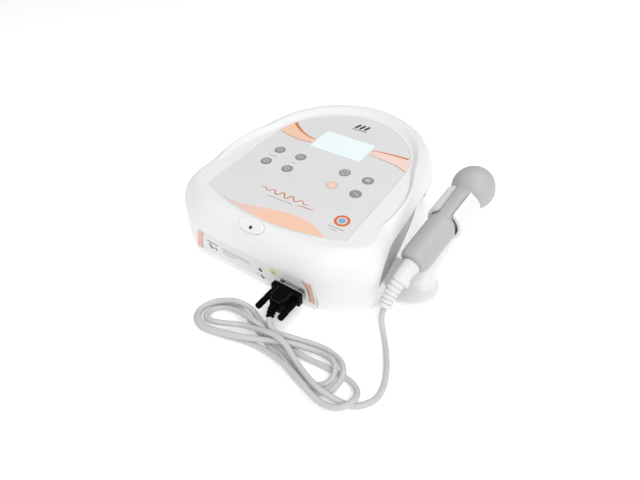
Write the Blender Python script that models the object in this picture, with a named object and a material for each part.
"""Tabletop ultrasound therapy unit: console, keypad, applicator handpiece in its cradle, and its lead.

Metres, +Z up. +Y is the back, +X the side with the cradle. The row origin is on the table, under the
middle of the console and cradle. CONSOLE places the console's own frame: its X is the display's middle
line, its Y is the display's centre and its Z is the table.
"""

import math

import bmesh
import bpy
import numpy as np
from mathutils import Matrix, Vector

MM = 0.001

# Where the console's frame sits in the row's frame
CONSOLE = Vector((-0.02688, 0.03385, 0.0))

# Gaps between neighbouring pieces
GAP = 0.0003

# Console body
FRONT_Y = -0.168
BACK_Y = 0.104
SKIRT_Z = 0.002  # underside of the top shell's skirt
WALL = 0.003
LEAN_X = -0.003  # how far the rear half stands towards the left
RIM_RAISE = 0.0045  # how far the rim stands above the keypad
ROUND_ACROSS = 0.020
ROUND_DOWN = 0.030
SIDE_SAMPLES = 76
TRAY_INSET = 0.0036
RECESS_DEPTH = 0.0055  # extra inset of the tray behind the side arches
RECESS_REAR = 0.0040  # and still more of it towards the back
SOFTENING = 3  # rounds of smoothing where the rim runs down to the keypad

# Side arch of the top shell: (Y, height) along its edge, from the front to the back
ARCH_CROWN = [
    (-0.1306, -0.010), (-0.1304, 0.002), (-0.1300, 0.016), (-0.1297, 0.030), (-0.1286, 0.0395),
    (-0.1240, 0.0458), (-0.1150, 0.0505), (-0.1025, 0.0550), (-0.0880, 0.0580), (-0.0650, 0.0590),
    (-0.0400, 0.0600), (-0.0120, 0.0585), (0.0140, 0.0505), (0.0360, 0.0350), (0.0500, 0.0160),
    (0.0550, 0.002), (0.0555, -0.010),
]
FLOOR_Z = 0.0035
FLOOR_THICK = 0.003

# Sloping face with the display and keys
FACE_TILT = math.radians(3.0)
FACE_Z = 0.0735  # height of the display's centre
OVERLAY_HALF = 0.083
OVERLAY_CORNER_Y = -0.1305
OVERLAY_SIDE_END_Y = -0.010
OVERLAY_BACK = 0.077  # rise of the back arch
OVERLAY_ARCH_POWER = 1.8
OVERLAY_FRONT_SAG = 0.018
OVERLAY_THICK = 0.0007
POCKET_DEPTH = 0.001
DISPLAY_SIZE = (0.0651, 0.0373)
KEY_R = 0.0061
KEY_ROWS_Y = (-0.0435, -0.0688)
LEFT_KEY_X = (-0.0561, -0.0276)
RIGHT_KEY_X = (0.0288, 0.0565)

# Front panel and its nine-way socket
PANEL_Z = (0.0103, 0.0347)
PANEL_HALF = (0.0758, 0.0702)  # half width at the bottom and at the top
PANEL_FACE_Y = -0.1677
SOCKET_X = 0.0484
SOCKET_Z = 0.0185
SCREW_SPACING = 0.025
INDICATOR = Vector((-0.0045, -0.1566, 0.0))
LAMP_SPOT = (0.0008, -0.0022)  # of the lamp, from the middle of its pad

# Rear connector bay
BAY_HALF = 0.046
BAY_Z = (0.007, 0.0437)
BAY_FACE_Y = 0.0845
ROCKER_REST = math.radians(-9.0)  # tilt of the power rocker when it is off

# Handpiece: its frame's +Y runs from the lead's end of the grip to the head
HAND_ORIGIN = Vector((0.1371, -0.1036, 0.0450))
HAND_YAW = math.radians(9.9)
HAND_PITCH = math.radians(21.6)
GRIP_R = 0.0144
NECK_HALF = (0.0077, 0.0128)  # half width of the neck between its two flats, and its half height
SHOULDER = (0.0435, 0.0525)  # where the grip starts to narrow, and where the neck begins
HEAD_AT = 0.1005
HEAD_R = 0.0204
FACE_DROP = 0.010  # from the head's centre to the rim round the metal face
FACE_LEAN = math.radians(12.0)

# Cradle
TUBE_R = (0.0146, 0.0182)
TUBE_SPAN = (0.047, 0.0840)
TUBE_MITRE = 0.42  # lean of the tube's lower end, per metre of height
SLOT_HALF = 0.0080
POCKET_END = 0.0560  # where the round pocket for the grip's end gives way to the slot
FOOT_CENTRE = Vector((0.136, -0.087, 0.0))
FOOT_HALF = (0.0258, 0.0290)
FOOT_THICK = 0.0045

# Lead
LEAD_R = 0.00265
BOOT_END = Vector((0.1309, -0.1412, 0.0172))
BOOT_END_WAY = Vector((0.10, -0.72, -0.68)).normalized()
PLUG_BOOT_END = Vector((0.0512, -0.2052, 0.0158))
PLUG_BOOT_WAY = Vector((0.42, -0.80, -0.42)).normalized()


# ---------------------------------------------------------------- scene helpers


def clear_scene():
    for obj in list(bpy.data.objects):
        bpy.data.objects.remove(obj, do_unlink=True)


def material(name, colour, roughness=0.5, metallic=0.0, alpha=1.0):
    mat = bpy.data.materials.get(name)
    if mat is None:
        mat = bpy.data.materials.new(name)
        mat.use_nodes = True
        shader = mat.node_tree.nodes["Principled BSDF"]
        shader.inputs["Base Color"].default_value = (*colour, 1.0)
        shader.inputs["Roughness"].default_value = roughness
        shader.inputs["Metallic"].default_value = metallic
        shader.inputs["Alpha"].default_value = alpha
        mat.diffuse_color = (*colour, alpha)
    return mat


WHITE = ("white_shell", (0.88, 0.89, 0.90), 0.35)
GREY_FACE = ("grey_overlay", (0.74, 0.74, 0.74), 0.45)
KEY_GREY = ("key_grey", (0.28, 0.28, 0.28), 0.5)
KEY_PINK = ("key_salmon", (0.95, 0.62, 0.48), 0.5)
DISPLAY_GLASS = ("display_glass", (0.83, 0.93, 0.98), 0.1)
HAND_GREY = ("handpiece_grey", (0.55, 0.55, 0.55), 0.45)
BLACK = ("black_plastic", (0.012, 0.012, 0.012), 0.4)
RUBBER = ("dark_rubber", (0.03, 0.03, 0.03), 0.8)
LEAD_GREY = ("lead_grey", (0.62, 0.62, 0.60), 0.5)
STEEL = ("steel", (0.6, 0.6, 0.6), 0.3, 1.0)
ALUMINIUM = ("aluminium", (0.78, 0.78, 0.79), 0.3, 1.0)
BOARD = ("circuit_board", (0.03, 0.2, 0.07), 0.5)
COPPER = ("copper_winding", (0.6, 0.25, 0.08), 0.4, 1.0)
CERAMIC = ("piezo_ceramic", (0.7, 0.66, 0.55), 0.5)


def empty(name, location, rotation=(0.0, 0.0, 0.0), parent=None):
    obj = bpy.data.objects.new(name, None)
    obj.location = location
    obj.rotation_euler = rotation
    obj.parent = parent
    bpy.context.scene.collection.objects.link(obj)
    return obj


def piece(name, mesh, look, location=(0, 0, 0), rotation=(0, 0, 0), parent=None, smooth=35.0):
    obj = bpy.data.objects.new(name, mesh)
    obj.location = location
    obj.rotation_euler = rotation
    obj.parent = parent
    bpy.context.scene.collection.objects.link(obj)
    mesh.materials.clear()
    mesh.materials.append(material(*look))
    if smooth:
        mesh.shade_smooth()
        mesh.set_sharp_from_angle(angle=math.radians(smooth))
    return obj


def helper(mesh, parent=None, location=(0, 0, 0), rotation=(0, 0, 0)):
    """A cutter or an operand of a Boolean, which isn't part of the object itself."""
    obj = piece(mesh.name, mesh, WHITE, location, rotation, parent, smooth=0)
    obj.hide_render = True
    obj.display_type = "WIRE"
    return obj


def boolean(target, other, operation="DIFFERENCE"):
    mod = target.modifiers.new(operation.lower(), "BOOLEAN")
    mod.operation = operation
    mod.solver = "EXACT"
    mod.object = other


def bevel(target, width, segments=2, angle=35.0):
    mod = target.modifiers.new("bevel", "BEVEL")
    mod.width = width
    mod.segments = segments
    mod.limit_method = "ANGLE"
    mod.angle_limit = math.radians(angle)


# ---------------------------------------------------------------- mesh makers


def finish_mesh(name, bm):
    bmesh.ops.recalc_face_normals(bm, faces=bm.faces[:])
    mesh = bpy.data.meshes.new(name)
    bm.to_mesh(mesh)
    bm.free()
    return mesh


def add_loft(bm, rings, closed_ends=True):
    """Skins rings of equal length, and closes both ends with a face."""
    rows = [[bm.verts.new(p) for p in ring] for ring in rings]
    count = len(rows[0])
    for low, high in zip(rows, rows[1:]):
        for i in range(count):
            j = (i + 1) % count
            bm.faces.new((low[i], low[j], high[j], high[i]))
    if closed_ends:
        bm.faces.new(rows[0][::-1])
        bm.faces.new(rows[-1])


def loft(name, rings):
    bm = bmesh.new()
    add_loft(bm, rings)
    return finish_mesh(name, bm)


def add_box(bm, low, high):
    corners = [(x, y, z) for z in (low[2], high[2]) for x, y in
               ((low[0], low[1]), (high[0], low[1]), (high[0], high[1]), (low[0], high[1]))]
    add_loft(bm, [corners[:4], corners[4:]])


def boxes(name, *spans):
    """One mesh of separate boxes, each given by its lowest and highest corner."""
    bm = bmesh.new()
    for low, high in spans:
        add_box(bm, low, high)
    return finish_mesh(name, bm)


def circle(radius, count, axis="Z", along=0.0, centre=(0.0, 0.0), start=0.0):
    """Points of a circle about an axis; centre is in the two other axes, in X, Y, Z order."""
    ring = []
    for i in range(count):
        turn = start + 2 * math.pi * i / count
        a = centre[0] + radius * math.cos(turn)
        b = centre[1] + radius * math.sin(turn)
        ring.append({"Z": (a, b, along), "Y": (a, along, b), "X": (along, a, b)}[axis])
    return ring


def add_turned(bm, profile, axis="Z", count=24, centre=(0.0, 0.0), start=0.0):
    """A solid turned about an axis from (radius, distance along it) pairs."""
    add_loft(bm, [circle(r, count, axis, s, centre, start) for r, s in profile])


def turned(name, profile, axis="Z", count=24, centre=(0.0, 0.0), start=0.0):
    bm = bmesh.new()
    add_turned(bm, profile, axis, count, centre, start)
    return finish_mesh(name, bm)


def rods(name, spots, radius, low, high, axis="Z", count=16):
    """One mesh of separate cylinders at the given spots."""
    bm = bmesh.new()
    for spot in spots:
        add_turned(bm, [(radius, low), (radius, high)], axis, count, spot)
    return finish_mesh(name, bm)


def prism(name, outline, low, high):
    return loft(name, [[(x, y, z) for x, y in outline] for z in (low, high)])


def smooth_curve(points, samples, closed=False):
    """Points spread evenly by chord along a centripetal Catmull-Rom curve through the given ones."""
    pts = [np.array(p, float) for p in points]
    if closed:
        run = [pts[-1]] + pts + pts[:2]
    else:
        run = [2 * pts[0] - pts[1]] + pts + [2 * pts[-1] - pts[-2]]
    fine = []
    for p0, p1, p2, p3 in zip(run, run[1:], run[2:], run[3:]):
        t0 = 0.0
        t1 = t0 + np.linalg.norm(p1 - p0) ** 0.5
        t2 = t1 + np.linalg.norm(p2 - p1) ** 0.5
        t3 = t2 + np.linalg.norm(p3 - p2) ** 0.5
        for t in np.linspace(t1, t2, 24, endpoint=False):
            a1 = (t1 - t) / (t1 - t0) * p0 + (t - t0) / (t1 - t0) * p1
            a2 = (t2 - t) / (t2 - t1) * p1 + (t - t1) / (t2 - t1) * p2
            a3 = (t3 - t) / (t3 - t2) * p2 + (t - t2) / (t3 - t2) * p3
            b1 = (t2 - t) / (t2 - t0) * a1 + (t - t0) / (t2 - t0) * a2
            b2 = (t3 - t) / (t3 - t1) * a2 + (t - t1) / (t3 - t1) * a3
            fine.append((t2 - t) / (t2 - t1) * b1 + (t - t1) / (t2 - t1) * b2)
    fine.append(pts[0] if closed else pts[-1])
    fine = np.array(fine)
    run_length = np.r_[0.0, np.cumsum(np.linalg.norm(np.diff(fine, axis=0), axis=1))]
    wanted = np.linspace(0.0, run_length[-1], samples + 1 if closed else samples)
    if closed:
        wanted = wanted[:-1]
    return np.stack([np.interp(wanted, run_length, fine[:, k]) for k in range(fine.shape[1])], axis=1)


def tube_frames(path):
    """A pair of unit vectors across the path at each of its points, carried along without twist."""
    path = [Vector(p) for p in path]
    ways = []
    for i in range(len(path)):
        ways.append((path[min(i + 1, len(path) - 1)] - path[max(i - 1, 0)]).normalized())
    side = ways[0].cross(Vector((0, 0, 1)))
    frames = []
    for way in ways:
        side = (side - side.dot(way) * way).normalized()
        frames.append((side, way.cross(side)))
    return frames


def ringed_tube(name, path, radii, count=14):
    """A round body along a path whose radius changes from point to point."""
    rings = []
    for point, radius, (a, b) in zip(path, radii, tube_frames(path)):
        turns = [2 * math.pi * i / count for i in range(count)]
        rings.append([Vector(point) + radius * (math.cos(t) * a + math.sin(t) * b) for t in turns])
    return loft(name, rings)


# ---------------------------------------------------------------- console outline


def smoothstep(value, low, high):
    t = min(max((value - low) / (high - low), 0.0), 1.0)
    return t * t * (3.0 - 2.0 * t)


def console_outline():
    """Widest outline of the console in plan, anticlockwise from the front middle."""
    half = [(0.0, FRONT_Y), (0.038, FRONT_Y), (0.074, FRONT_Y + 0.0025), (0.1, FRONT_Y + 0.0155),
            (0.1175, -0.137), (0.1195, -0.100), (0.116, -0.050), (0.111, 0.0), (0.0965, 0.045),
            (0.068, 0.080), (0.030, 0.0995), (0.0, BACK_Y)]
    right = [(x + LEAN_X * smoothstep(y, -0.137, -0.08), y) for x, y in half[:-1]]
    left = [(-x + LEAN_X * smoothstep(y, -0.137, -0.08), y) for x, y in half[:0:-1]]
    return smooth_curve(right + left, SIDE_SAMPLES, closed=True)


def overlay_outline(inset=0.0, arc=14):
    """Outline of the keypad overlay in the tilted face, drawn in by inset."""
    w = OVERLAY_HALF - inset
    back = OVERLAY_BACK - inset
    points = []
    for i in range(2 * arc + 1):
        turn = math.pi * i / (2 * arc)
        power = 2.0 / OVERLAY_ARCH_POWER
        c, s = math.cos(turn), math.sin(turn)
        points.append((math.copysign(abs(c) ** power, c) * w, OVERLAY_SIDE_END_Y + s ** power * back))
    radius = (OVERLAY_HALF ** 2 + OVERLAY_FRONT_SAG ** 2) / (2 * OVERLAY_FRONT_SAG)
    centre_y = OVERLAY_CORNER_Y - OVERLAY_FRONT_SAG + radius
    reach = math.asin(w / (radius - inset))
    for i in range(arc + 1):
        turn = reach * (2 * i / arc - 1)
        points.append(((radius - inset) * math.sin(turn), centre_y - (radius - inset) * math.cos(turn)))
    return points


def face_height(y):
    return FACE_Z + y * math.tan(FACE_TILT)


HUB = np.array([0.0, -0.035])  # every outline of the console is a star about this point


class Plan:
    """The console's outline and, on the same rays, the overlay's, so that rings never cross."""

    def __init__(self):
        self.outer = console_outline()
        edge = np.array(overlay_outline(arc=40)) - HUB
        angle = np.arctan2(edge[:, 1], edge[:, 0])
        order = np.argsort(angle)
        rays = self.outer - HUB
        turn = np.arctan2(rays[:, 1], rays[:, 0])
        reach = np.interp(turn, angle[order], np.hypot(edge[:, 0], edge[:, 1])[order], period=2 * math.pi)
        for _ in range(SOFTENING):
            reach = 0.25 * np.roll(reach, 1) + 0.5 * reach + 0.25 * np.roll(reach, -1)
        self.inner = HUB + np.stack([np.cos(turn), np.sin(turn)], axis=1) * reach[:, None]
        self.room = np.linalg.norm(self.outer - self.inner, axis=1)
        self.raised = np.array([RIM_RAISE * smoothstep(y, -0.125, -0.045) for y in self.outer[:, 1]])
        share = 0.94 - 0.24 * self.raised / RIM_RAISE
        self.across = np.minimum(ROUND_ACROSS, share * self.room)

    def at(self, inset):
        """Outline drawn in by inset, given in metres for all points or one by one."""
        share = np.minimum(np.asarray(inset) / self.room, 1.35)
        return self.outer + (self.inner - self.outer) * np.reshape(share, (-1, 1))

    def ring(self, inset, height):
        flat = self.at(inset)
        heights = np.broadcast_to(height, len(flat))
        return [(x, y, z) for (x, y), z in zip(flat, heights)]


# ---------------------------------------------------------------- console shells


def top_shell_mesh(plan):
    across = plan.across
    crest = face_height(plan.at(across)[:, 1]) + plan.raised
    side_top = crest - ROUND_DOWN
    steps = [math.radians(a) for a in (18, 36, 54, 72, 90)]
    power = 1.12  # a little flatter than a quarter ellipse

    def rounded(angle, thick):
        run = (across - thick) * (1.0 - math.cos(angle) ** power)
        rise = (ROUND_DOWN - thick) * math.sin(angle) ** power
        return thick + run, side_top + rise

    rings = [plan.ring(0.9 * plan.room, face_height(plan.at(0.9 * plan.room)[:, 1]) - 0.0042)]
    for angle in reversed(steps[1::2] + [steps[-1]]):
        rings.append(plan.ring(*rounded(angle, WALL)))
    rings += [plan.ring(WALL, side_top), plan.ring(WALL, SKIRT_Z), plan.ring(0.0004, SKIRT_Z)]
    rings += [plan.ring(0.0, 0.012), plan.ring(0.0, side_top)]
    for angle in steps:
        rings.append(plan.ring(*rounded(angle, 0.0)))
    slope = across + 0.45 * (plan.room - across)
    rings.append(plan.ring(slope, face_height(plan.at(slope)[:, 1]) + 0.5 * plan.raised))
    foot = across + 0.82 * (plan.room - across)
    rings.append(plan.ring(foot, face_height(plan.at(foot)[:, 1])))
    deep = 1.2 * plan.room
    rings.append(plan.ring(deep, face_height(plan.at(deep)[:, 1])))
    return loft("top_shell", rings)


def arch_cutters():
    """The arched opening in each side of the top shell, over the recessed wall of the tray."""
    crown = smooth_curve(ARCH_CROWN, 34)
    bm = bmesh.new()
    for side in (-1, 1):
        add_loft(bm, [[(side * x, y, z) for y, z in crown] for x in (0.0835, 0.150)])
    return finish_mesh("arch_cutters", bm)


def panel_outline(grow=0.0):
    return [(-PANEL_HALF[0] - grow, PANEL_Z[0] - grow), (PANEL_HALF[0] + grow, PANEL_Z[0] - grow),
            (PANEL_HALF[1] + grow, PANEL_Z[1] + grow), (-PANEL_HALF[1] - grow, PANEL_Z[1] + grow)]


def panel_opening():
    low_z = -0.01
    left, right, top_right, top_left = panel_outline(GAP)
    outline = [(left[0], low_z), (right[0], low_z), right, top_right, top_left, left]
    return loft("panel_opening", [[(x, y, z) for x, z in outline] for y in (-0.19, -0.155)])


def bay_cutter(low_y):
    spans = ((-BAY_HALF - GAP, low_y, BAY_Z[0] - GAP), (BAY_HALF + GAP, 0.130, BAY_Z[1] + GAP))
    return boxes("bay_cutter", spans)


CASE_SCREWS = [(-0.078, -0.125), (0.078, -0.125), (-0.062, 0.060), (0.056, 0.060)]
KEYS = {
    "level_up_key": (LEFT_KEY_X[0], KEY_ROWS_Y[0]),
    "level_down_key": (LEFT_KEY_X[0], KEY_ROWS_Y[1]),
    "time_up_key": (LEFT_KEY_X[1], KEY_ROWS_Y[0]),
    "time_down_key": (LEFT_KEY_X[1], KEY_ROWS_Y[1]),
    "program_key": (RIGHT_KEY_X[0], KEY_ROWS_Y[0]),
    "enter_key": (RIGHT_KEY_X[0], KEY_ROWS_Y[1]),
    "start_key": (RIGHT_KEY_X[1], KEY_ROWS_Y[0]),
    "stop_key": (RIGHT_KEY_X[1], KEY_ROWS_Y[1]),
}


def slope_height(plan, x, y):
    """Height of the front slope over a point near the middle of the front."""
    inset = y - FRONT_Y
    across = 0.94 * (OVERLAY_CORNER_Y - OVERLAY_FRONT_SAG - FRONT_Y)
    share = max(1.0 - inset / across, 0.0) ** (1 / 1.12)
    crest = face_height(FRONT_Y + across)
    return crest - ROUND_DOWN + ROUND_DOWN * math.sqrt(1.0 - share ** 2) ** 1.12


def make_console(root, face, plan):
    shell = piece("top_shell", top_shell_mesh(plan), WHITE, parent=root, smooth=50)
    posts = bmesh.new()
    for x, y in CASE_SCREWS:
        into_roof = 0.0026 if y > 0 else -0.0026
        add_turned(posts, [(0.004, 0.0072), (0.004, face_height(y) + into_roof)], count=12, centre=(x, y))
    boolean(shell, helper(finish_mesh("screw_posts", posts), root), "UNION")
    boolean(shell, helper(arch_cutters(), root))
    boolean(shell, helper(panel_opening(), root))
    boolean(shell, helper(bay_cutter(0.080), root))
    bores = rods("post_bores", CASE_SCREWS, 0.0017, 0.0, 0.020, count=10)
    boolean(shell, helper(bores, root))
    pocket = prism("pocket", overlay_outline(-GAP), -POCKET_DEPTH, 0.02)
    boolean(shell, helper(pocket, face))
    window = (DISPLAY_SIZE[0] / 2 - 0.002, DISPLAY_SIZE[1] / 2 - 0.002)
    opening = boxes("display_opening", ((-window[0], -window[1], -0.02), (window[0], window[1], 0.01)))
    boolean(shell, helper(opening, face))
    boolean(shell, helper(rods("stem_holes", list(KEYS.values()), 0.0027, -0.02, 0.01), face))

    # Indicator pad, let into the front slope, and the lamp near its middle
    height = slope_height(plan, INDICATOR.x, INDICATOR.y)
    pitch = math.radians(38)
    spot = (INDICATOR.x, INDICATOR.y, height)
    oval = [(0.0146 * math.cos(t), 0.0074 * math.sin(t))
            for t in np.linspace(0, 2 * math.pi, 28, endpoint=False)]
    seat = [(x * 1.03, y * 1.05) for x, y in oval]
    boolean(shell, helper(prism("indicator_seat", seat, -0.0016, 0.012), root, spot, (pitch, 0, 0)))
    lamp_bore = rods("lamp_bore", [LAMP_SPOT], 0.0022, -0.012, 0.005)
    boolean(shell, helper(lamp_bore, root, spot, (pitch, 0, 0)))
    pad_rings = [[(x, y, -0.0013) for x, y in oval], [(x, y, 0.0006) for x, y in oval],
                 [(0.93 * x, 0.88 * y, 0.0012) for x, y in oval]]
    pad = piece("indicator_pad", loft("indicator_pad", pad_rings), WHITE, spot, (pitch, 0, 0), root)
    boolean(pad, helper(rods("pad_hole", [LAMP_SPOT], 0.0019, -0.01, 0.01), root, spot, (pitch, 0, 0)))
    lens = [(0.0016, -0.0075), (0.0016, 0.0008), (0.0010, 0.0014)]
    lamp = turned("indicator_lamp", lens, count=14, centre=LAMP_SPOT)
    piece("indicator_lamp", lamp, BLACK, spot, (pitch, 0, 0), root)

    tray = piece("bottom_tray", bottom_tray_mesh(plan), WHITE, parent=root, smooth=50)
    lip = boxes("front_lip", ((-0.0745, PANEL_FACE_Y, FLOOR_Z), (0.0745, -0.161, PANEL_Z[0] - GAP)))
    boolean(tray, helper(lip, root), "UNION")
    boolean(tray, helper(bay_cutter(0.0840), root))
    boolean(tray, helper(tray_cuts(), root))
    return shell, tray


def tray_inset(y):
    """How far the tray's wall stands in from the console's outline."""
    behind_arch = smoothstep(y, -0.140, -0.128) * (1 - smoothstep(y, 0.056, 0.070))
    towards_back = smoothstep(y, -0.062, 0.004) * (1 - smoothstep(y, 0.030, 0.056))
    return TRAY_INSET + RECESS_DEPTH * behind_arch + RECESS_REAR * towards_back


def bottom_tray_mesh(plan):
    """The tray: low at the front and back, tall and set in behind the side arches."""
    y = plan.outer[:, 1]
    inset = np.array([tray_inset(v) for v in y])
    low = 0.0095
    tall = face_height(y) + plan.raised - 0.0135
    rise = np.array([smoothstep(v, -0.138, -0.129) * (1 - smoothstep(v, 0.046, 0.056)) for v in y])
    top = low + (tall - low) * rise
    wall = 0.0024
    floor_top = FLOOR_Z + FLOOR_THICK
    return loft("bottom_tray", [plan.ring(inset + wall, floor_top), plan.ring(inset + wall, top),
                                plan.ring(inset, top), plan.ring(inset, FLOOR_Z)])


def tray_cuts():
    """Screw holes with counterbores, and the vents in the tray's floor."""
    bm = bmesh.new()
    for spot in CASE_SCREWS:
        bore = [(0.0034, -0.001), (0.0034, 0.0050), (0.0018, 0.0050), (0.0018, 0.02)]
        add_turned(bm, bore, centre=spot, count=16)
    for i in range(6):
        x = -0.030 + 0.012 * i
        add_box(bm, (x - 0.0015, -0.010, -0.001), (x + 0.0015, 0.040, 0.02))
    return finish_mesh("tray_cuts", bm)


def make_case_fittings(root):
    for i, (x, y) in enumerate(CASE_SCREWS):
        screw = turned("case_screw", [(0.0028, 0.0022), (0.0028, 0.0046), (0.0014, 0.0046),
                                      (0.0014, 0.0150)], count=14)
        piece(f"case_screw_{i + 1}", screw, STEEL, (x, y, 0), parent=root)
    for i, (x, y) in enumerate([(-0.082, -0.146), (0.082, -0.146), (-0.046, 0.070), (0.040, 0.070)]):
        foot = turned("rubber_foot", [(0.0058, 0.0), (0.0066, 0.0008), (0.0070, FLOOR_Z - GAP)], count=20)
        piece(f"rubber_foot_{i + 1}", foot, RUBBER, (x, y, 0), parent=root)


# ---------------------------------------------------------------- keypad and display


def make_keypad(face):
    film = prism("keypad_overlay", overlay_outline(), -OVERLAY_THICK, 0.0)
    overlay = piece("keypad_overlay", film, GREY_FACE, parent=face)
    half = (DISPLAY_SIZE[0] / 2 + GAP, DISPLAY_SIZE[1] / 2 + GAP)
    window = boxes("overlay_window", ((-half[0], -half[1], -0.01), (half[0], half[1], 0.01)))
    boolean(overlay, helper(window, face))
    holes = rods("overlay_key_holes", list(KEYS.values()), KEY_R + GAP, -0.01, 0.01, count=24)
    boolean(overlay, helper(holes, face))
    glass = boxes("display_window", ((-half[0] + GAP, -half[1] + GAP, -OVERLAY_THICK),
                                     (half[0] - GAP, half[1] - GAP, 0.0)))
    piece("display_window", glass, DISPLAY_GLASS, parent=face)
    for name, (x, y) in KEYS.items():
        profile = [(0.0020, -0.0072), (0.0020, -0.0003), (KEY_R - 0.0002, -0.0003), (KEY_R, 0.0001),
                   (KEY_R - 0.0007, 0.0005)]
        look = KEY_PINK if name == "enter_key" else KEY_GREY
        piece(name, turned(name, profile, count=24), look, (x, y, 0), parent=face)
    board_mesh = boxes("keypad_board", ((-0.070, -0.082, -0.0105), (0.070, 0.030, -0.0090)))
    board = piece("keypad_board", board_mesh, BOARD, parent=face)
    bm = bmesh.new()
    for x, y in KEYS.values():
        add_box(bm, (x - 0.003, y - 0.003, -0.0095), (x + 0.003, y + 0.003, -0.0079))
    boolean(board, helper(finish_mesh("key_switches", bm), face), "UNION")
    boolean(board, helper(boxes("board_window", ((-0.0405, -0.0265, -0.02), (0.0405, 0.0265, 0.0))), face))
    display_mesh = boxes("display_module", ((-0.040, -0.026, -0.0115), (0.040, 0.026, -0.0046)))
    display = piece("display_module", display_mesh, ALUMINIUM, parent=face)
    bevel(display, 0.0008, 1)


# ---------------------------------------------------------------- front panel and connector


def d_outline(width, height, samples=3):
    """Outline of a D-sub connector, wider at the top, with rounded corners."""
    taper = height * math.tan(math.radians(10))
    corners = [(-width / 2 + taper, -height / 2), (width / 2 - taper, -height / 2),
               (width / 2, height / 2), (-width / 2, height / 2)]
    radius = 0.22 * height
    outline = []
    for i, corner in enumerate(corners):
        before = Vector(corners[i - 1]) - Vector(corner)
        after = Vector(corners[(i + 1) % 4]) - Vector(corner)
        start = Vector(corner) + before.normalized() * radius
        end = Vector(corner) + after.normalized() * radius
        for k in range(samples + 1):
            t = k / samples
            point = start * (1 - t) ** 2 + Vector(corner) * 2 * t * (1 - t) + end * t * t
            outline.append((point.x, point.y))
    return outline


def across_panel(outline, y, centre=(0.0, 0.0)):
    return [(centre[0] + x, y, centre[1] + z) for x, z in outline]


def make_front_panel(root):
    panel_mesh = loft("front_panel", [[(x, y, z) for x, z in panel_outline()]
                                      for y in (PANEL_FACE_Y, -0.1657)])
    panel = piece("front_panel", panel_mesh, GREY_FACE, parent=root)
    spot = (SOCKET_X, SOCKET_Z)
    opening = loft("socket_opening", [across_panel(d_outline(0.0186, 0.0098), y, spot)
                                      for y in (-0.18, -0.15)])
    boolean(panel, helper(opening, root))

    def d_span(width, height, low, high):
        return [across_panel(d_outline(width, height), y, spot) for y in (low, high)]

    flange = rounded_plate(0.0308, 0.0125, 0.0015, -0.1688, -0.1680, spot)
    socket = piece("socket_shell", flange, STEEL, parent=root)
    boolean(socket, helper(loft("socket_ring", d_span(0.0180, 0.0092, -0.1717, -0.1600)), root), "UNION")
    boolean(socket, helper(loft("socket_bore", d_span(0.0166, 0.0078, -0.18, -0.15)), root))
    piece("socket_insulator", loft("socket_insulator", d_span(0.0160, 0.0072, -0.1692, -0.1600)), BLACK,
          parent=root)

    for side, name in ((-1, "jack_post_left"), (1, "jack_post_right")):
        centre = (SOCKET_X + side * SCREW_SPACING / 2, SOCKET_Z)
        post = piece(name, turned(name, [(0.0027, -0.1716), (0.0027, -0.1691)], "Y", 6, centre), STEEL,
                     parent=root)
        boolean(post, helper(rods(name + "_bore", [centre], 0.0017, -0.18, -0.1700, "Y", 10), root))


def rounded_plate(width, height, corner, low, high, spot):
    outline = []
    for cx, cz, first in ((1, 1, 0), (-1, 1, 1), (-1, -1, 2), (1, -1, 3)):
        for k in range(4):
            turn = math.pi / 2 * (first + k / 3)
            outline.append((cx * (width / 2 - corner) + corner * math.cos(turn),
                            cz * (height / 2 - corner) + corner * math.sin(turn)))
    return loft("plate", [across_panel(outline, y, spot) for y in (low, high)])


def make_plug(root):
    spot = (SOCKET_X, SOCKET_Z)
    flange = rounded_plate(0.0308, 0.0125, 0.0015, -0.1729, -0.1720, spot)
    shell = piece("plug_shell", flange, STEEL, parent=root)
    tongue = loft("plug_tongue", [across_panel(d_outline(0.0158, 0.0070), y, spot)
                                  for y in (-0.1724, -0.1696)])
    boolean(shell, helper(tongue, root), "UNION")
    holes = [(SOCKET_X + side * SCREW_SPACING / 2, SOCKET_Z) for side in (-1, 1)]
    boolean(shell, helper(rods("flange_holes", holes, 0.0017, -0.19, -0.165, "Y", 12), root))

    # The hood: wide ears at the flange, a narrower body between the thumbscrews, and a tapered nose
    half_outline = [(0.0052, -0.1950), (0.0090, -0.1880), (0.0090, -0.1800), (0.0160, -0.1790),
                    (0.0160, -0.1732)]
    outline = [(-x, y) for x, y in half_outline[::-1]] + half_outline
    half = 0.0066
    hood_mesh = loft("plug_hood", [[(SOCKET_X + x, y, SOCKET_Z + z) for x, y in outline]
                                   for z in (-half, half)])
    hood = piece("plug_hood", hood_mesh, BLACK, parent=root)
    boolean(hood, helper(rods("ear_holes", holes, 0.0019, -0.19, -0.165, "Y", 12), root))
    for side, name in ((-1, "left_thumbscrew"), (1, "right_thumbscrew")):
        profile = [(0.0026, -0.2035), (0.0031, -0.2028), (0.0031, -0.1812), (0.0024, -0.1804),
                   (0.0013, -0.1804), (0.0013, -0.1704)]
        mesh = turned(name, profile, "Y", 16)
        piece(name, mesh, BLACK, (SOCKET_X + side * SCREW_SPACING / 2, 0, SOCKET_Z), parent=root)

    start = Vector((SOCKET_X, -0.1953, SOCKET_Z))
    path = bezier(start, start + Vector((0, -0.004, 0)), PLUG_BOOT_END - 0.003 * PLUG_BOOT_WAY,
                  PLUG_BOOT_END, 13)
    radii = [0.0046 - 0.0012 * i / 12 - (0.0005 if i % 2 else 0.0) for i in range(13)]
    piece("plug_boot", ringed_tube("plug_boot", path, radii, 14), BLACK, parent=root)


def bezier(a, b, c, d, samples):
    points = []
    for i in range(samples):
        t = i / (samples - 1)
        points.append(a * (1 - t) ** 3 + b * 3 * t * (1 - t) ** 2 + c * 3 * t * t * (1 - t) + d * t ** 3)
    return points


# ---------------------------------------------------------------- rear bay


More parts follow.
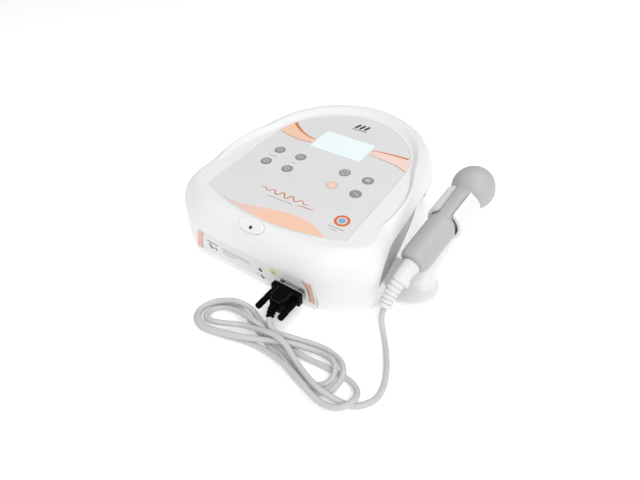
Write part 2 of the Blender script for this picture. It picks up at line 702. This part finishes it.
def make_rear(root, plan):
    low, high = BAY_Z
    depth = 0.0015
    bay_mesh = boxes("rear_bay", ((-BAY_HALF, BAY_FACE_Y, low), (BAY_HALF, 0.125, high)))
    bay = piece("rear_bay", bay_mesh, WHITE, parent=root)
    hollow = ((-BAY_HALF + depth, BAY_FACE_Y + depth, low + depth), (BAY_HALF - depth, 0.140, high - depth))
    boolean(bay, helper(boxes("bay_hollow", hollow), root))
    limit = loft("bay_limit", [plan.ring(0.0005, z) for z in (-0.01, 0.08)])
    boolean(bay, helper(limit, root), "INTERSECT")
    face = BAY_FACE_Y + depth
    cuts = boxes("bay_cuts", ((-0.0360, 0.07, 0.0152), (-0.0090, 0.1, 0.0356)),
                 ((0.0040, 0.07, 0.0160), (0.0160, 0.1, 0.0350)))
    boolean(bay, helper(cuts, root))
    boolean(bay, helper(rods("fuse_cut", [(0.0300, 0.0255)], 0.0062, 0.07, 0.1, "Y", 20), root))

    inlet_mesh = boxes("mains_inlet", ((-0.0357, 0.0700, 0.0155), (-0.0093, 0.0875, 0.0353)))
    inlet = piece("mains_inlet", inlet_mesh, BLACK, parent=root)
    rim = ((-0.0385, face + GAP, 0.0135), (-0.0065, face + 0.0020, 0.0373))
    boolean(inlet, helper(boxes("inlet_rim", rim), root), "UNION")
    cavity = boxes("inlet_cavity", ((-0.0345, 0.0720, 0.0172), (-0.0105, 0.1, 0.0336)))
    boolean(inlet, helper(cavity, root))
    for name, x, z in (("line_pin", -0.0295, 0.0235), ("neutral_pin", -0.0155, 0.0235),
                       ("earth_pin", -0.0225, 0.0275)):
        span = ((x - 0.001, 0.0720 + GAP, z - 0.002), (x + 0.001, 0.0840, z + 0.002))
        piece(name, boxes(name, span), STEEL, parent=root)

    bezel_mesh = boxes("switch_bezel", ((0.0043, 0.0760, 0.0163), (0.0157, 0.0870, 0.0347)))
    bezel = piece("switch_bezel", bezel_mesh, BLACK, parent=root)
    bezel_rim = boxes("bezel_rim", ((0.0025, face + GAP, 0.0145), (0.0175, face + 0.0018, 0.0365)))
    boolean(bezel, helper(bezel_rim, root), "UNION")
    boolean(bezel, helper(boxes("bezel_hole", ((0.0055, 0.0770, 0.0178), (0.0145, 0.1, 0.0332))), root))
    rocker_outline = [(-0.0070, 0.0002), (-0.0072, 0.0030), (0.0, 0.0014), (0.0072, 0.0030),
                      (0.0070, 0.0002), (0.0030, -0.0045), (-0.0030, -0.0045)]
    rocker = loft("power_rocker", [[(x, y, z) for z, y in rocker_outline] for x in (-0.0041, 0.0041)])
    piece("power_rocker", rocker, BLACK, (0.0100, 0.0860, 0.0255), (ROCKER_REST, 0, 0), root)

    holder_profile = [(0.0058, 0.0620), (0.0058, face + GAP), (0.0075, face + GAP), (0.0075, face + 0.0016)]
    holder_mesh = turned("fuse_holder", holder_profile, "Y", 20, (0.0300, 0.0255))
    holder = piece("fuse_holder", holder_mesh, BLACK, parent=root)
    boolean(holder, helper(rods("fuse_bore", [(0.0300, 0.0255)], 0.0047, 0.065, 0.1, "Y", 18), root))
    cap_profile = [(0.0040, 0.0660), (0.0040, face + 0.0019), (0.0060, face + 0.0019),
                   (0.0060, face + 0.0048), (0.0054, face + 0.0054)]
    cap_mesh = turned("fuse_cap", cap_profile, "Y", 20)
    cap = piece("fuse_cap", cap_mesh, BLACK, (0.0300, 0, 0.0255), parent=root)
    slot = boxes("cap_slot", ((-0.0045, face + 0.0040, -0.0006), (0.0045, 0.1, 0.0006)))
    boolean(cap, helper(slot, root, (0.0300, 0, 0.0255)))


# ---------------------------------------------------------------- inside the console


def make_electronics(root):
    floor = FLOOR_Z + FLOOR_THICK
    board_mesh = boxes("main_board", ((-0.066, -0.118, 0.0120), (0.066, -0.020, 0.0136)))
    board = piece("main_board", board_mesh, BOARD, parent=root)
    corners = [(-0.058, -0.110), (0.058, -0.110), (-0.058, -0.028), (0.058, -0.028)]
    legs = rods("board_legs", corners, 0.003, floor + GAP, 0.0125)
    boolean(board, helper(legs, root), "UNION")
    core_mesh = boxes("transformer", ((-0.064, -0.004, floor + GAP), (-0.006, 0.044, 0.0500)))
    core = piece("transformer", core_mesh, STEEL, parent=root)
    coil = boxes("transformer_coil", ((-0.054, -0.012, 0.0160), (-0.016, 0.052, 0.0420)))
    boolean(core, helper(coil, root), "UNION")
    base_mesh = boxes("heatsink", ((0.016, -0.006, floor + GAP), (0.064, 0.036, 0.0105)))
    base = piece("heatsink", base_mesh, ALUMINIUM, parent=root)
    bm = bmesh.new()
    for i in range(7):
        x = 0.0175 + 0.0072 * i
        add_box(bm, (x, -0.006, 0.0095), (x + 0.0020, 0.036, 0.0300))
    boolean(base, helper(finish_mesh("heatsink_fins", bm), root), "UNION")
    can = [(0.0080, 0.0139), (0.0080, 0.0380), (0.0072, 0.0388)]
    piece("capacitor", turned("capacitor", can, count=20), BLACK, (-0.048, -0.050, 0), parent=root)
    ring = turned("output_coil", [(0.0110, 0.0139), (0.0120, 0.0150), (0.0120, 0.0225), (0.0110, 0.0236)],
                  count=20)
    coil = piece("output_coil", ring, COPPER, (0.036, -0.060, 0), parent=root)
    boolean(coil, helper(rods("coil_eye", [(0, 0)], 0.0055, 0.0, 0.04), root, (0.036, -0.060, 0)))
    buzzer = turned("buzzer", [(0.0060, 0.0139), (0.0060, 0.0215), (0.0052, 0.0222)], count=18)
    piece("buzzer", buzzer, BLACK, (0.004, -0.092, 0), parent=root)
    strip = boxes("ribbon_cable", ((-0.012, -0.0352, 0.0139), (0.012, -0.0346, 0.0560)))
    piece("ribbon_cable", strip, GREY_FACE, parent=root)


# ---------------------------------------------------------------- cradle


def hand_matrix():
    turn = Matrix.Rotation(-HAND_YAW, 4, "Z") @ Matrix.Rotation(HAND_PITCH, 4, "X")
    return Matrix.Translation(HAND_ORIGIN) @ turn


def make_cradle(root, hand_fixed):
    def foot_ring(share, z):
        turns = [2 * math.pi * i / 40 for i in range(40)]
        return [(FOOT_CENTRE.x + FOOT_HALF[0] * share * math.cos(t),
                 FOOT_CENTRE.y + FOOT_HALF[1] * share * math.sin(t), z) for t in turns]

    foot = [foot_ring(0.985, 0.0), foot_ring(1.0, 0.0010), foot_ring(1.0, 0.0030),
            foot_ring(0.955, FOOT_THICK)]
    cradle = piece("cradle", loft("cradle", foot), WHITE, parent=root, smooth=50)
    inboard = boxes("foot_trim", ((0.060, -0.130, 0.0030), (0.1172, -0.030, 0.02)))
    boolean(cradle, helper(inboard, root))
    tongue = boxes("foot_tongue", ((0.0720, -0.1000, 0.0004), (0.1300, -0.0600, 0.0029)))
    boolean(cradle, helper(tongue, root), "UNION")

    # The column: centre, half width along X and half depth across it, from foot to tube
    stations = [((0.1370, -0.0805, 0.0025), 0.0192, 0.0205, 0.0),
                ((0.1370, -0.0755, 0.0075), 0.0173, 0.0155, 0.05),
                ((0.1365, -0.0690, 0.0180), 0.0172, 0.0115, 0.12),
                ((0.1392, -0.0580, 0.0330), 0.0168, 0.0100, 0.20),
                ((0.1438, -0.0460, 0.0470), 0.0158, 0.0100, 0.30),
                ((0.1466, -0.0395, 0.0545), 0.0150, 0.0112, 0.36)]
    rings = []
    for at, wide, deep, lean in stations:
        ring = []
        for i in range(24):
            turn = 2 * math.pi * i / 24
            offset = Vector((wide * math.cos(turn), deep * math.sin(turn), 0.0))
            ring.append(Vector(at) + Matrix.Rotation(lean, 3, "X") @ offset)
        rings.append(ring)
    boolean(cradle, helper(loft("cradle_column", rings), root), "UNION")

    tube = loft("cradle_tube", [mitred_ring(TUBE_R[1], TUBE_SPAN[0], TUBE_MITRE),
                                mitred_ring(TUBE_R[1], TUBE_SPAN[1], 0.0)])
    boolean(cradle, helper(tube, hand_fixed), "UNION")
    bore = rods("cradle_bore", [(0, 0)], TUBE_R[0], 0.020, POCKET_END, "Y", 32)
    boolean(cradle, helper(bore, hand_fixed))
    slot = boxes("cradle_slot", ((-SLOT_HALF, 0.020, GAP - TUBE_R[0]), (SLOT_HALF, 0.110, 0.040)))
    boolean(cradle, helper(slot, hand_fixed))
    holes = [(0.082, -0.090), (0.082, -0.070)]
    boolean(cradle, helper(rods("cradle_screw_holes", holes, 0.0019, -0.01, 0.02, count=12), root))
    for i, (x, y) in enumerate(holes):
        screw = [(0.0016, 0.0010), (0.0016, FLOOR_Z - GAP)]
        piece(f"cradle_screw_{i + 1}", turned("cradle_screw", screw, count=12), STEEL, (x, y, 0),
              parent=root)


def mitred_ring(radius, along, slope, count=32):
    """A ring round the handpiece's axis, whose upper half leans towards the head by slope."""
    ring = []
    for x, _, z in circle(radius, count, "Y"):
        ring.append((x, along + slope * (z + radius) * 0.5, z))
    return ring


# ---------------------------------------------------------------- handpiece


def grip_rings(count=32):
    """A round grip, then a neck with a flat on each side, which grows again into the head."""
    stations = [(0.0098, 0.0098, 0.0), (0.0124, 0.0124, 0.0012), (0.0140, 0.0140, 0.0044),
                (GRIP_R, GRIP_R, 0.0095), (GRIP_R, GRIP_R, SHOULDER[0])]
    steps = 5
    for i in range(1, steps + 1):
        t = math.pi / 2 * i / steps
        wide = NECK_HALF[0] + (GRIP_R - NECK_HALF[0]) * math.cos(t)
        high = NECK_HALF[1] + (GRIP_R - NECK_HALF[1]) * math.cos(t)
        stations.append((wide, high, SHOULDER[0] + (SHOULDER[1] - SHOULDER[0]) * math.sin(t)))
    stations += [(NECK_HALF[0], NECK_HALF[1], 0.0760), (NECK_HALF[0], 0.0131, 0.0805),
                 (NECK_HALF[0], 0.0139, 0.0845), (0.0108, 0.0153, 0.0873), (0.0138, 0.0170, 0.0900)]
    rings = []
    for wide, high, along in stations:
        lowest = -high if along < SHOULDER[1] else -NECK_HALF[1]
        ring = []
        for i in range(count):
            turn = 2 * math.pi * (i + 0.5) / count
            x = high * math.cos(turn)
            ring.append((max(min(x, wide), -wide), along, max(high * math.sin(turn), lowest)))
        rings.append(ring)
    return rings


def head_frame(parent):
    """At the head's centre; +Z points out through the treatment face."""
    return empty("head_frame", (0, HEAD_AT, 0), (math.pi + FACE_LEAN, 0, 0), parent)


def make_handpiece(hand):
    head = head_frame(hand)
    shell = piece("handpiece_shell", loft("handpiece_shell", grip_rings()), HAND_GREY, parent=hand,
                  smooth=50)
    dome = [(HEAD_R * math.cos(a), HEAD_R * math.sin(a))
            for a in np.radians([-84, -68, -52, -36, -20, -6, 8])]
    dome += [(0.0200, FACE_DROP - 0.0015), (0.0196, FACE_DROP)]
    boolean(shell, helper(turned("head_dome", dome, count=32), head), "UNION")
    side, near, far = NECK_HALF[0], SHOULDER[1] + 0.0005, TUBE_SPAN[1] + 0.0004
    flats = boxes("neck_flats", ((-0.03, near, -0.03), (-side, far, 0.03)),
                  ((side, near, -0.03), (0.03, far, 0.03)))
    boolean(shell, helper(flats, hand))
    inner = [(0.0168 * math.cos(a), 0.0168 * math.sin(a)) for a in np.radians([-80, -50, -20])]
    inner += [(0.0172, 0.0), (0.0172, 0.03)]
    boolean(shell, helper(turned("head_hollow", inner, count=28), head))
    barrel = [(0.0058, -0.01), (0.0058, 0.0030), (0.0118, 0.0034), (0.0118, 0.0300), (0.0048, 0.0440),
              (0.0048, 0.0960)]
    boolean(shell, helper(turned("barrel", barrel, "Y", 20), hand))

    cup = [(0.0166, FACE_DROP - 0.0060), (0.0166, FACE_DROP + GAP), (0.0188, FACE_DROP + GAP),
           (0.0188, FACE_DROP + 0.0022), (0.0180, FACE_DROP + 0.0030)]
    face = piece("treatment_face", turned("treatment_face", cup, count=32), ALUMINIUM, parent=head)
    boolean(face, helper(turned("face_cup", [(0.0140, -0.02), (0.0140, FACE_DROP)], count=28), head))
    disc = turned("piezo_disc", [(0.0125, FACE_DROP - 0.0024), (0.0125, FACE_DROP - 0.0003)], count=28)
    piece("piezo_disc", disc, CERAMIC, parent=head)
    path = []
    for i in range(31):
        turn = 2 * math.pi * i / 10
        rise = FACE_DROP - 0.0032 - 0.0100 * i / 30
        path.append((0.0045 * math.cos(turn), 0.0045 * math.sin(turn), rise))
    piece("contact_spring", ringed_tube("contact_spring", path, [0.0004] * 31, 6), STEEL, parent=head)
    boolean(shell, helper(rods("wire_way", [(0, 0)], 0.0040, 0.080, 0.1005, "Y", 12), hand))

    collar = [(0.0055, 0.0032), (0.0055, -0.0003), (0.0084, -0.0003), (0.0086, -0.0030), (0.0080, -0.0075)]
    piece("boot_collar", turned("boot_collar", collar, "Y", 22), WHITE, parent=hand)
    start = hand_matrix() @ Vector((0, -0.0078, 0))
    way = (hand_matrix().to_3x3() @ Vector((0, -1, 0))).normalized()
    count = 23
    path = bezier(start, start + 0.013 * way, BOOT_END - 0.012 * BOOT_END_WAY, BOOT_END, count)
    radii = []
    for i in range(count):
        t = i / (count - 1)
        groove = 0.0010 if 0.28 < t < 0.88 and i % 2 else 0.0
        radii.append(0.0077 - 0.0018 * t - groove)
    back = hand_matrix().inverted()
    boot = ringed_tube("cable_boot", [back @ p for p in path], radii, 16)
    piece("cable_boot", boot, WHITE, parent=hand, smooth=25)


# ---------------------------------------------------------------- lead

# Where the lead's middle runs, in millimetres in the console's frame, from the handpiece to the plug:
# down to the table, then through two and a half turns of a loose figure of eight
LEAD_ROUTE = [
    (133, -148, 8.4), (137.5, -153, 3.4), (150.5, -172, 2.9), (162, -195.5, 2.9), (164.5, -213, 2.9),
    (159.5, -224, 2.9), (150.5, -231.5, 2.9), (134, -236, 7.5), (119.5, -235.5, 9.6), (97, -227.5, 9.8),
    (78.5, -220, 14.9), (67, -218, 15.9), (44.5, -218.5, 9.2), (30, -220.5, 6.4), (15.5, -230, 9.6),
    (7.5, -233.5, 10.1), (-0.5, -232.5, 8.4), (-5.5, -226.5, 5.8), (-5.5, -219, 3.5), (0, -212.5, 2.9),
    (11, -210, 4.6), (34.5, -212, 9.6), (49, -213, 7.6), (71.5, -219, 2.9), (99.5, -228, 2.9),
    (116, -232, 2.9), (123.5, -228.5, 4.3), (127, -221.5, 7.1), (125, -214, 9.4), (118.5, -208, 8.5),
    (105, -205, 4.3), (93.5, -207.5, 5.2), (78, -214.5, 9.5), (53.5, -226, 9.4), (22.5, -237.5, 9.3),
    (5, -241, 9.5), (-6, -237.5, 9.5), (-11.5, -230.5, 8.6), (-11.5, -222, 8.2), (-5, -212, 8.6),
    (10.5, -203.5, 9.6), (24.5, -201, 6.2), (41, -206, 2.9), (64.5, -210, 2.9), (87.5, -215, 2.9),
    (117.5, -213.5, 2.9), (138.5, -213.5, 3.1), (148.5, -219, 5.8), (151.5, -226.5, 8.8),
    (149.5, -235, 9.4), (143.5, -241, 7.8), (132, -244, 6.5), (114.5, -241.5, 8.9), (92, -234.5, 9.2),
    (68, -230.5, 6.4), (47, -230, 3.1), (20.5, -236.5, 2.9), (-0.5, -240, 2.9), (-11.5, -236, 2.9),
    (-16, -229, 2.9), (-15.5, -220, 2.9), (-8.5, -210.5, 2.9), (2, -204.5, 2.9), (17, -205, 2.9),
    (42.5, -215, 2.9), (68, -224.5, 2.9), (97, -234.5, 2.9), (114.5, -238.5, 2.9), (126, -235, 3),
    (131.5, -228.5, 4.7), (133.5, -217.5, 8.8), (129.5, -209, 9), (120.5, -202, 5.5), (106, -198.5, 3),
    (91.5, -201, 3.5), (73, -209.5, 9.1), (62, -212.5, 10.7), (54, -209.5, 13.4),
]


def make_lead(root):
    path = [BOOT_END + GAP * BOOT_END_WAY, BOOT_END + 0.003 * BOOT_END_WAY]
    path += [Vector(p) * MM for p in LEAD_ROUTE]
    path.append(PLUG_BOOT_END + GAP * PLUG_BOOT_WAY)
    curve = bpy.data.curves.new("applicator_cord", "CURVE")
    curve.dimensions = "3D"
    curve.bevel_depth = LEAD_R
    curve.bevel_resolution = 2
    curve.use_fill_caps = True
    spline = curve.splines.new("POLY")
    spline.points.add(len(path) - 1)
    for point, at in zip(spline.points, path):
        point.co = (*at, 1.0)
    curve.materials.append(material(*LEAD_GREY))
    obj = bpy.data.objects.new("applicator_cord", curve)
    obj.parent = root
    bpy.context.scene.collection.objects.link(obj)


def main():
    clear_scene()
    root = empty("console_frame", CONSOLE)
    face = empty("face_frame", (0, 0, FACE_Z), (FACE_TILT, 0, 0), root)
    hand = empty("handpiece_frame", HAND_ORIGIN, (HAND_PITCH, 0, -HAND_YAW), root)
    hand_fixed = empty("cradle_frame", HAND_ORIGIN, (HAND_PITCH, 0, -HAND_YAW), root)
    plan = Plan()
    make_console(root, face, plan)
    make_case_fittings(root)
    make_keypad(face)
    make_front_panel(root)
    make_plug(root)
    make_rear(root, plan)
    make_electronics(root)
    make_cradle(root, hand_fixed)
    make_handpiece(hand)
    make_lead(root)


main()
